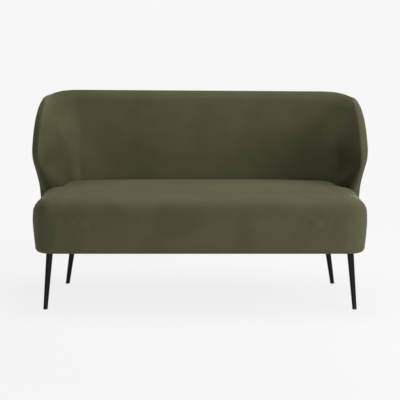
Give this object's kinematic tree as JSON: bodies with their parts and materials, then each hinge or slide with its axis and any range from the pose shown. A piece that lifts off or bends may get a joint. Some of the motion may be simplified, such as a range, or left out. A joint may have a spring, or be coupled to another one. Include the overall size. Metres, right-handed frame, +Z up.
{
  "type": "two-seater sofa",
  "caption": "Compact two-seater sofa with a tight seat, a curved wing back in dark olive velvet and slim splayed black metal legs.",
  "frame": {"origin": "on the floor, under the middle of the sofa's bounding box", "axes": "+X towards the sitter's left, the right-hand side in the picture; +Y from the seat's front to the back; +Z up"},
  "size_m": [1.3796, 0.6948, 0.8453],
  "materials": {
    "olive_velvet": "dark olive velvet with a short pile",
    "foam": "cream upholstery foam",
    "wadding": "white polyester wadding",
    "felt": "grey needled felt",
    "pine": "planed pine, unfinished",
    "plywood": "bent plywood, unfinished",
    "spring_steel": "drawn spring wire",
    "zinc_steel": "zinc-plated, satin",
    "webbing": "woven rubber webbing, matt",
    "liner_card": "brown upholstery card",
    "black_nonwoven": "thin black non-woven cloth",
    "leg_paint": "black satin paint on steel tube",
    "glide_plastic": "black plastic"
  },
  "bodies": {
    "root": {"back_bolt_left": "zinc_steel", "back_bolt_right": "zinc_steel", "back_bottom_rail": "pine", "back_centre_post": "pine", "back_end_post_left": "pine", "back_end_post_right": "pine", "back_foam": "foam", "back_liner": "liner_card", "back_strap_1": "webbing", "back_strap_2": "webbing", "back_strap_3": "webbing", "back_strap_4": "webbing", "back_tee_nut_left": "zinc_steel", "back_tee_nut_right": "zinc_steel", "back_top_rail": "pine", "dust_cover": "black_nonwoven", "front_clip_strip": "zinc_steel", "front_glide_left": "glide_plastic", "front_glide_right": "glide_plastic", "front_leg_block_left": "pine", "front_leg_block_right": "pine", "front_leg_left": "leg_paint", "front_leg_right": "leg_paint", "front_leg_stud_left": "zinc_steel", "front_leg_stud_right": "zinc_steel", "inside_back_cover": "olive_velvet", "lower_corner_rib_left": "plywood", "lower_corner_rib_right": "plywood", "outside_back_cover": "olive_velvet", "rear_clip_strip": "zinc_steel", "rear_glide_left": "glide_plastic", "rear_glide_right": "glide_plastic", "rear_leg_block_left": "pine", "rear_leg_block_right": "pine", "rear_leg_left": "leg_paint", "rear_leg_right": "leg_paint", "rear_leg_stud_left": "zinc_steel", "rear_leg_stud_right": "zinc_steel", "seat_centre_rail": "pine", "seat_cover": "olive_velvet", "seat_foam": "foam", "seat_front_rail": "pine", "seat_rear_rail": "pine", "seat_side_rail_left": "pine", "seat_side_rail_right": "pine", "seat_spring_1": "spring_steel", "seat_spring_2": "spring_steel", "seat_spring_3": "spring_steel", "seat_spring_4": "spring_steel", "seat_spring_5": "spring_steel", "seat_spring_6": "spring_steel", "seat_spring_7": "spring_steel", "seat_spring_8": "spring_steel", "seat_wadding": "wadding", "spring_pad": "felt", "upper_corner_rib_left": "plywood", "upper_corner_rib_right": "plywood", "wing_panel_left": "plywood", "wing_panel_right": "plywood"}
  },
  "joints": []
}
